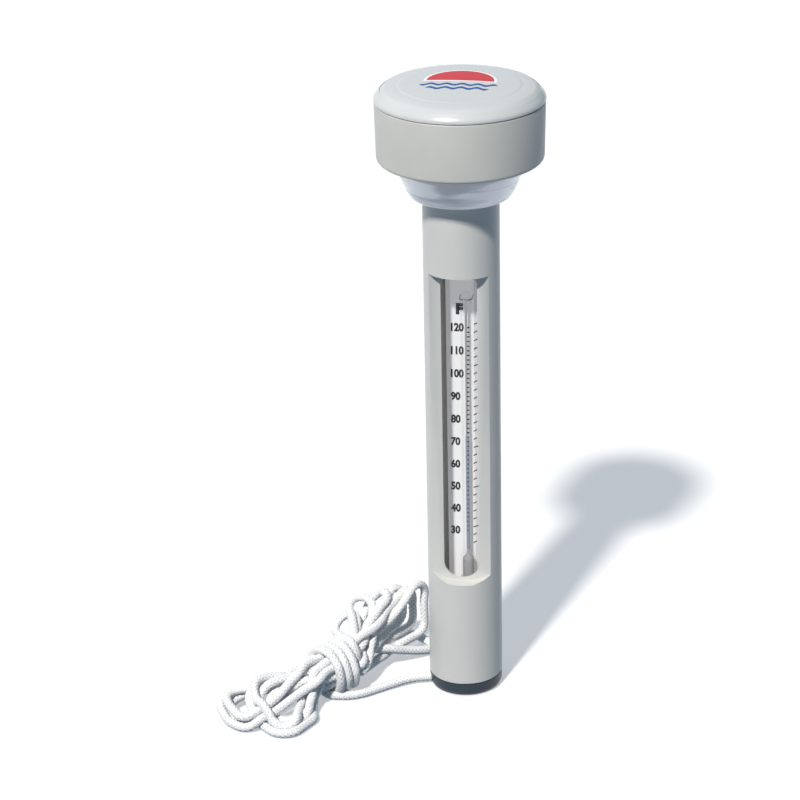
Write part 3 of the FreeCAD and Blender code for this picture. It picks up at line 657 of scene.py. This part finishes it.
def spirit_material(name, pale, deep, see_through, tint):
    """Spirit in glass: partly see-through, so that the ticks behind it stay readable."""
    material = bpy.data.materials.new(name)
    material.use_nodes = True
    tree = material.node_tree
    shader = tree.nodes["Principled BSDF"]
    output = tree.nodes["Material Output"]
    place = tree.nodes.new("ShaderNodeTexCoord")
    noise = tree.nodes.new("ShaderNodeTexNoise")
    noise.inputs["Scale"].default_value = 400
    ramp = tree.nodes.new("ShaderNodeValToRGB")
    colour_ends(ramp, deep, pale)
    link(tree, place, "Object", noise, "Vector")
    link(tree, noise, "Fac", ramp, "Fac")
    link(tree, ramp, "Color", shader, "Base Color")
    shader.inputs["Roughness"].default_value = 0.15
    through = tree.nodes.new("ShaderNodeBsdfTransparent")
    through.inputs["Color"].default_value = (*tint, 1)
    mix = tree.nodes.new("ShaderNodeMixShader")
    mix.inputs["Fac"].default_value = see_through
    tree.links.new(shader.outputs[0], mix.inputs[1])
    tree.links.new(through.outputs[0], mix.inputs[2])
    tree.links.new(mix.outputs[0], output.inputs["Surface"])
    return material


SPIRIT = spirit_material(
    "spirit", (0.62, 0.73, 0.90), (0.55, 0.67, 0.86), 0.80, (0.89, 0.94, 1.0))
BULB_SPIRIT = spirit_material(
    "bulb_spirit", (0.80, 0.80, 0.82), (0.74, 0.74, 0.76), 0.80, (0.97, 0.97, 0.98))

FINISHES = {
    "float_lid": LID, "float_skirt": SKIRT, "float_bowl": BOWL, "stem_tube": STEM,
    "lid_seal_ring": RUBBER, "bowl_gasket": RUBBER, "neck_seal_ring": RUBBER, "lower_bush": RUBBER,
    "neck_lock_nut": WHITE, "key_bush": WHITE, "clear_tube_stopper": STOPPER,
    "bottom_cap": CAP, "ballast_ring": STEEL, "upper_staple": STEEL, "lower_staple": STEEL,
    "clear_tube": CLEAR, "glass_tube": GLASS, "scale_card": CARD, "bulb_cushion": FOAM,
    "spirit_reservoir": BULB_SPIRIT, "spirit_column": SPIRIT,
    "cord_knot": CORD_SKIN, "cord_lead": CORD_SKIN, "cord_hank": CORD_SKIN,
}


def paint(piece, material):
    """Give a piece this one material."""
    piece.data.materials.clear()
    piece.data.materials.append(material)


for name, material in FINISHES.items():
    for slot in node[name].material_slots:
        slot.material = material

paint(cord, CORD_SKIN)
paint(knot, CORD_SKIN)


# ------------------------------------------------------------------ shapes

def add_piece(name, mesh, material, body):
    """A piece of its own from a mesh, painted, on its body."""
    piece = bpy.data.objects.new(name, mesh)
    scene.collection.objects.link(piece)
    paint(piece, material)
    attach(piece, body)
    return piece


def rounded(corners, steps=6):
    """Points along a closed outline of (radius, height, rounding) corners, in millimetres."""
    outline = []
    count = len(corners)
    for i, (x, z, reach) in enumerate(corners):
        here = Vector((x, z))
        if reach <= 0:
            outline.append(here)
            continue
        before = Vector(corners[i - 1][:2]) - here
        after = Vector(corners[(i + 1) % count][:2]) - here
        first = here + before.normalized() * min(reach, before.length * 0.49)
        last = here + after.normalized() * min(reach, after.length * 0.49)
        for k in range(steps + 1):
            t = k / steps
            outline.append(first * (1 - t) ** 2 + here * 2 * t * (1 - t) + last * t * t)
    return outline


# Edges of a turned shape that are sharper than this stay sharp.
LATHE_SHARP_FROM = math.radians(40)


def lathe(name, outline, sides=160):
    """A closed ring or disc turned from an outline of radius and height, in millimetres."""
    vertices, faces, rings = [], [], []
    for point in outline:
        if point.x < 1e-6:
            rings.append([len(vertices)])
            vertices.append((0, 0, point.y * MM))
            continue
        rings.append(list(range(len(vertices), len(vertices) + sides)))
        for k in range(sides):
            angle = 2 * math.pi * k / sides
            vertices.append((point.x * MM * math.cos(angle), point.x * MM * math.sin(angle),
                             point.y * MM))
    for a, b in zip(rings, rings[1:] + rings[:1]):
        if len(a) == 1 and len(b) == 1:
            continue
        for k in range(sides):
            j = (k + 1) % sides
            quad = [a[k % len(a)], a[j % len(a)], b[j % len(b)], b[k % len(b)]]
            faces.append(list(dict.fromkeys(quad)))
    mesh = bpy.data.meshes.new(name)
    mesh.from_pydata(vertices, [], faces)
    mesh.validate()
    for polygon in mesh.polygons:
        polygon.use_smooth = True
    mesh.set_sharp_from_angle(angle=LATHE_SHARP_FROM)
    return mesh


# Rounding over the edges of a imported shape: points this near are one, faces this level are one,
# and edges sharper than this are rounded or kept sharp.
WELD = 2e-6
SAME_FACE = math.radians(0.6)
ROUND_FROM = math.radians(32)
SHARP_FROM = math.radians(28)


def softened(node_name, name, width):
    """A copy of a node's shape with its edges rounded over."""
    mesh = node[node_name].data.copy()
    mesh.name = name
    work = bmesh.new()
    work.from_mesh(mesh)
    bmesh.ops.remove_doubles(work, verts=work.verts, dist=WELD)
    bmesh.ops.dissolve_limit(work, angle_limit=SAME_FACE, verts=work.verts, edges=work.edges)
    work.to_mesh(mesh)
    work.free()
    holder = bpy.data.objects.new(name, mesh)
    scene.collection.objects.link(holder)
    bevel = holder.modifiers.new("edges", "BEVEL")
    bevel.width = width
    bevel.segments = 3
    bevel.limit_method = "ANGLE"
    bevel.angle_limit = ROUND_FROM
    bpy.context.view_layer.update()
    graph = bpy.context.evaluated_depsgraph_get()
    made = bpy.data.meshes.new_from_object(holder.evaluated_get(graph))
    bpy.data.objects.remove(holder)
    made.name = name
    for polygon in made.polygons:
        polygon.use_smooth = True
    made.set_sharp_from_angle(angle=SHARP_FROM)
    return made


def turn_normals(mesh, radius):
    """Shade the outer wall as a true cylinder, whatever the facets next to its openings do."""
    normals = [Vector(corner.vector) for corner in mesh.corner_normals]
    for polygon in mesh.polygons:
        middle = Vector((polygon.center.x, polygon.center.y, 0))
        inside = middle.length < radius - 0.2 * MM
        if inside or polygon.normal.dot(middle.normalized()) < 0.985:
            continue
        for corner in polygon.loop_indices:
            place = mesh.vertices[mesh.loops[corner].vertex_index].co
            normals[corner] = Vector((place.x, place.y, 0)).normalized()
    mesh.normals_split_custom_set(normals)
    return mesh


# ------------------------------------------------------------------ float head

# The lid's face, in millimetres: a shallow dome as far as a small step, then a falling border.
DISC_RADIUS = 20.0
DISC_FALL = 0.75
STEP_RADIUS = 20.8
STEP_WIDTH = 0.8
STEP_FALL = 0.22
BORDER_WIDTH = 4.6
BORDER_FALL = 0.75
# The lip under the lid, which fills the skirt's mouth.
LIP_OUTSIDE = 25.9
LIP_INSIDE = 23.3
LIP_DEPTH = 5.4


def dome_height(radius):
    """Height of the lid's face above the floor at a radius, in millimetres."""
    if radius < DISC_RADIUS:
        return TOP - DISC_FALL * (radius / DISC_RADIUS) ** 2
    if radius < STEP_RADIUS:
        return TOP - DISC_FALL - STEP_FALL * (radius - DISC_RADIUS) / STEP_WIDTH
    fall = BORDER_FALL * ((radius - STEP_RADIUS) / BORDER_WIDTH) ** 1.6
    return TOP - (DISC_FALL + STEP_FALL) - fall


def make_lid():
    """The lid: face, rounded rim and the lip inside."""
    on_disc, on_border = np.linspace(0, 19.8, 24), np.linspace(21.2, 25.4, 8)
    on_step = [20.0, 20.2, 20.4, 20.6, 20.8]
    radii = np.concatenate([on_disc, on_step, on_border])
    face = [Vector((r, dome_height(r))) for r in radii.tolist()]
    rim = rounded([(RIM - 2.3, TOP - 2.15, 0.9), (RIM, SEAM + 1.25, 1.5), (RIM, SEAM, 0.3)], 10)
    inside = rounded([
        (LIP_OUTSIDE, SEAM, 0.2), (LIP_OUTSIDE, SEAM - LIP_DEPTH, 0.3),
        (LIP_INSIDE, SEAM - LIP_DEPTH, 0.3), (LIP_INSIDE, SEAM + 0.6, 1.0),
        (18.0, SEAM + 2.6, 1), (0, TOP - 2.2, 0)])
    piece = add_piece("lid", lathe("lid", face + rim + inside), LID, "case")
    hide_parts("float_lid")


def make_skirt():
    """The cup round the lid's lip, with a hole in its floor for the bowl."""
    hole, inner, edge = 23.7, WALL - 2.3, SEAM - 0.12
    outline = rounded([
        (hole, FOOT, 0.2), (WALL - 0.4, FOOT, 1.4), (WALL, edge, 0.5),
        (inner, edge, 0.2), (inner, FOOT + 2, 0.4), (hole, FOOT + 2, 0.2)])
    piece = add_piece("skirt", lathe("skirt", outline), SKIRT, "case")
    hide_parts("float_skirt")


def make_bowl():
    """The clear bowl: outside from the foot up, over the flange and back down inside."""
    low = BOWL_LOW
    outline = rounded([
        (11.1, low, 0.2), (17.2, low, 0.8), (18.6, low + 2.2, 1.4), (21.6, FOOT - 3.0, 3.0),
        (23.4, FOOT + 0.6, 1.2), (23.5, FOOT + 2.8, 0.1), (25.7, FOOT + 2.8, 0.2),
        (25.7, FOOT + 4.2, 0.2), (21.9, FOOT + 4.2, 0.3), (21.8, FOOT + 0.4, 0.8),
        (20.0, FOOT - 3.0, 2.5), (16.6, low + 2.6, 0.9), (15.6, low + 1.8, 0.5),
        (11.1, low + 1.8, 0.2)])
    piece = add_piece("bowl", lathe("bowl", outline), BOWL, "case")
    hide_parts("float_bowl")


def lid_print(name, columns, material, lift=0.04):
    """A thin ink patch on the lid's face: each column is x and the patch's two edges there."""
    rows = 6
    vertices, faces = [], []
    for x, near, far in columns:
        for k in range(rows + 1):
            y = near + (far - near) * k / rows
            height = dome_height(math.hypot(x, y)) + lift
            vertices.append((x * MM, y * MM, height * MM))
    for i in range(len(columns) - 1):
        for k in range(rows):
            a = i * (rows + 1) + k
            faces.append((a, a + rows + 1, a + rows + 2, a + 1))
    mesh = bpy.data.meshes.new(name)
    mesh.from_pydata(vertices, [], faces)
    for polygon in mesh.polygons:
        polygon.use_smooth = True
    return add_piece(name, mesh, material, "case")


# The printed half sun's two layers: name, half width, foot, height, ink and lift, in millimetres.
SUN_LAYERS = (
    ("lid_mark_ground", 12.3, 0.5, 13.3, WHITE_INK, 0.02),
    ("lid_mark_sun", 11.3, 1.4, 11.5, RED_INK, 0.04),
)
# The two rows of waves under it.
WAVE_ROWS = (-2.9, -6.7)
WAVE_REACH = 13
SHORTER_BY = 2.5
WAVE_TAPER = 1.5
WAVE_LENGTH = 5.2
WAVE_SWING = 0.75
WAVE_HALF_THICK = 0.85


def make_mark():
    """A plain half sun over two rows of waves, printed on the lid."""
    for name, wide, foot, tall, ink, lift in SUN_LAYERS:
        disc = []
        for t in np.linspace(-1, 1, 65):
            rise = math.sqrt(max(0.0, 1 - t * t))
            disc.append((wide * t, foot, foot + tall * rise))
        lid_print(name, disc, ink, lift)
    for row, middle in enumerate(WAVE_ROWS):
        reach = WAVE_REACH - SHORTER_BY * row
        wave = []
        for x in np.linspace(-reach, reach, 97):
            y = middle + WAVE_SWING * math.sin(x * 2 * math.pi / WAVE_LENGTH)
            half = WAVE_HALF_THICK * min(1.0, (reach - abs(x)) / WAVE_TAPER + 0.15)
            wave.append((x, y - half, y + half))
        lid_print(f"lid_mark_wave_{row + 1}", wave, BLUE_INK)


make_lid()
make_skirt()
make_bowl()
make_mark()


# ------------------------------------------------------------------ stem and cap

stem_mesh = turn_normals(softened("stem_tube", "stem", 0.5 * MM), stem_high.x)
stem = add_piece("stem", stem_mesh, STEM, "case")
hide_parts("stem_tube")
cap_mesh = turn_normals(softened("bottom_cap", "cap", 0.25 * MM), cap_high.x)
cap = add_piece("cap", cap_mesh, CAP, "insert")
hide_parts("bottom_cap")


# ------------------------------------------------------------------ scale

# The print lies just in front of the card.
PRINT_Y = card_low.y - 0.03 * MM
# The scale's heights in millimetres: each degree, the 30 mark and the zeros of both scales.
PER_F = 0.8567
MARK_30_F = 59.8
ZERO_F = MARK_30_F - 30 * PER_F
PER_C = PER_F * 1.8
ZERO_C = ZERO_F + 32 * PER_F
# The sheet is printed a little out of square: the columns lean over the card's length.
LEAN = math.tan(math.radians(0.6))
LEAN_MIDDLE = 95.0
# Where the print stands across the card, and its sizes, in millimetres.
UNIT_LEFT, UNIT_MIDDLE, UNIT_TALL = -2.7, 143.7, 4.2
NUMERAL_LEFT, NUMERAL_TALL = -4.45, 3.2
F_TICK, F_TICK_THICK = (1.15, 1.95), 0.5
C_TICK_LEFT, C_TICK_SHORT, C_TICK_LONG = 3.5, 4.7, 5.3
C_TICK_THICK, C_TICK_RISE = 0.45, 0.7


def word_mesh(word, left, middle, tall, squeeze, weight):
    """Vertices and faces of a printed number or unit on the card's face."""
    curve = bpy.data.curves.new("word", "FONT")
    curve.body = word
    curve.offset = weight
    curve.resolution_u = 4
    holder = bpy.data.objects.new("word", curve)
    scene.collection.objects.link(holder)
    bpy.context.view_layer.update()
    mesh = bpy.data.meshes.new_from_object(holder)
    bpy.data.objects.remove(holder)
    co = np.array([v.co for v in mesh.vertices], float)
    low, high = co.min(0), co.max(0)
    scale = tall / (high[1] - low[1])
    points = []
    for x, y, _ in co:
        points.append(((left + (x - low[0]) * scale * squeeze) * MM, PRINT_Y,
                       (middle + (y - (low[1] + high[1]) / 2) * scale) * MM))
    return points, [tuple(p.vertices) for p in mesh.polygons]


def bar_mesh(x0, x1, z, thick, rise=0.0):
    """Vertices and faces of a tick, level or slanted."""
    corners = ((x0, -thick - rise), (x1, -thick + rise), (x1, thick + rise), (x0, thick - rise))
    return [(x * MM, PRINT_Y, (z + lift / 2) * MM) for x, lift in corners], [(0, 1, 2, 3)]


def make_print():
    """The F, its numerals and ticks beside the glass, and the other scale's slanted ticks."""
    parts = [word_mesh("F", UNIT_LEFT, UNIT_MIDDLE, UNIT_TALL, 0.95, 0.075)]
    for degrees in range(30, 121, 10):
        height = ZERO_F + PER_F * degrees
        parts.append(word_mesh(str(degrees), NUMERAL_LEFT, height, NUMERAL_TALL, 0.82, 0.05))
    for degrees in range(30, 121, 2):
        parts.append(bar_mesh(*F_TICK, ZERO_F + PER_F * degrees, F_TICK_THICK))
    for degrees in range(-4, 51, 2):
        reach = C_TICK_LONG if degrees % 10 == 0 else C_TICK_SHORT
        height = ZERO_C + PER_C * degrees
        parts.append(bar_mesh(C_TICK_LEFT, reach, height, C_TICK_THICK, C_TICK_RISE))
    vertices, faces = [], []
    for points, polygons in parts:
        faces += [tuple(i + len(vertices) for i in polygon) for polygon in polygons]
        vertices += points
    vertices = [(x + (z - LEAN_MIDDLE * MM) * LEAN, y, z) for x, y, z in vertices]
    mesh = bpy.data.meshes.new("card_print")
    mesh.from_pydata(vertices, [], faces)
    mesh.validate()
    add_piece("card_print", mesh, INK, "insert")


# The visible thread of spirit, in millimetres.
COLUMN_FOOT = 54.0
COLUMN_RADIUS = 0.62
COLUMN_RING_GAP = 1.5


def make_column():
    """The spirit in the fine bore, as wide as the glass makes it look."""
    middle = Vector(((column_low.x + column_high.x) / 2, (column_low.y + column_high.y) / 2))
    top = column_high.z / MM
    outline = rounded([(0, COLUMN_FOOT, 0), (COLUMN_RADIUS, COLUMN_FOOT, 0.1),
                       (COLUMN_RADIUS, top, 0.25), (0, top, 0)], 3)
    fine = []
    for a, b in zip(outline, outline[1:] + outline[:1]):
        count = max(1, int((b - a).length / COLUMN_RING_GAP))
        fine += [a.lerp(b, k / count) for k in range(count)]
    mesh = lathe("spirit_thread", fine, 16)
    for vertex in mesh.vertices:
        vertex.co.x += middle.x
        vertex.co.y += middle.y
    piece = bpy.data.objects.new("spirit_thread", mesh)
    scene.collection.objects.link(piece)
    paint(piece, SPIRIT)
    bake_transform(piece)
    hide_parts("spirit_column")


make_print()
make_column()


# ------------------------------------------------------------------ stage

FLOOR_REACH = 12.0
SUN_STRENGTH = 4.2
SUN_AZIMUTH = math.radians(-16)
SUN_HEIGHT = math.radians(51)
SUN_SPREAD = math.radians(4)
# The way the stronger sky light comes from, and how far round it reaches.
SKY_FROM = (-0.72, 0.69, -0.05)
SKY_EDGE = 0.25
FLOOR_GLOW = 0.42


def make_world():
    """Cool light from all round, stronger from behind and the left, before a white background."""
    world = bpy.data.worlds.new("studio")
    world.use_nodes = True
    tree = world.node_tree
    light = tree.nodes["Background"]
    place = tree.nodes.new("ShaderNodeTexCoord")
    side = tree.nodes.new("ShaderNodeVectorMath")
    side.operation = "DOT_PRODUCT"
    side.inputs[1].default_value = SKY_FROM
    amount = tree.nodes.new("ShaderNodeMapRange")
    amount.interpolation_type = "SMOOTHSTEP"
    amount.inputs["From Min"].default_value = SKY_EDGE
    amount.inputs["From Max"].default_value = 1.0
    colours = tree.nodes.new("ShaderNodeMix")
    colours.data_type = "RGBA"
    colours.inputs[6].default_value = (0.115, 0.18, 0.25, 1)
    colours.inputs[7].default_value = (0.80, 0.86, 0.92, 1)
    link(tree, place, "Generated", side, 0)
    link(tree, side, "Value", amount, "Value")
    link(tree, amount, "Result", colours, 0)
    tree.links.new(colours.outputs[2], light.inputs["Color"])
    backdrop = tree.nodes.new("ShaderNodeBackground")
    backdrop.inputs["Color"].default_value = (1.0, 1.0, 1.0, 1)
    rays = tree.nodes.new("ShaderNodeLightPath")
    mix = tree.nodes.new("ShaderNodeMixShader")
    link(tree, rays, "Is Camera Ray", mix, "Fac")
    tree.links.new(light.outputs[0], mix.inputs[1])
    tree.links.new(backdrop.outputs[0], mix.inputs[2])
    tree.links.new(mix.outputs[0], tree.nodes["World Output"].inputs["Surface"])
    return world


def make_stage():
    """A pale floor that does not light the object from below, the world and a soft-edged sun."""
    mesh = bpy.data.meshes.new("floor")
    size = FLOOR_REACH
    corners = [(-size, -size, 0), (size, -size, 0), (size, size, 0), (-size, size, 0)]
    mesh.from_pydata(corners, [], [(0, 1, 2, 3)])
    floor = bpy.data.objects.new("floor", mesh)
    scene.collection.objects.link(floor)
    material = bpy.data.materials.new("floor")
    material.use_nodes = True
    shader = shader_of(material)
    shader.inputs["Base Color"].default_value = (0.52, 0.52, 0.52, 1)
    shader.inputs["Emission Color"].default_value = (0.97, 0.98, 1.0, 1)
    shader.inputs["Emission Strength"].default_value = FLOOR_GLOW
    shader.inputs["Roughness"].default_value = 0.9
    mesh.materials.append(material)
    floor.visible_diffuse = False
    scene.world = make_world()
    sun = bpy.data.lights.new("key", "SUN")
    sun.energy = SUN_STRENGTH
    sun.color = (1.0, 0.965, 0.92)
    sun.angle = SUN_SPREAD
    key = bpy.data.objects.new("key", sun)
    scene.collection.objects.link(key)
    level = math.cos(SUN_HEIGHT)
    back = Vector((math.sin(SUN_AZIMUTH) * level, -math.cos(SUN_AZIMUTH) * level,
                   math.sin(SUN_HEIGHT)))
    key.rotation_euler = back.to_track_quat("Z", "Y").to_euler()


make_stage()
scene.view_settings.view_transform = "Standard"
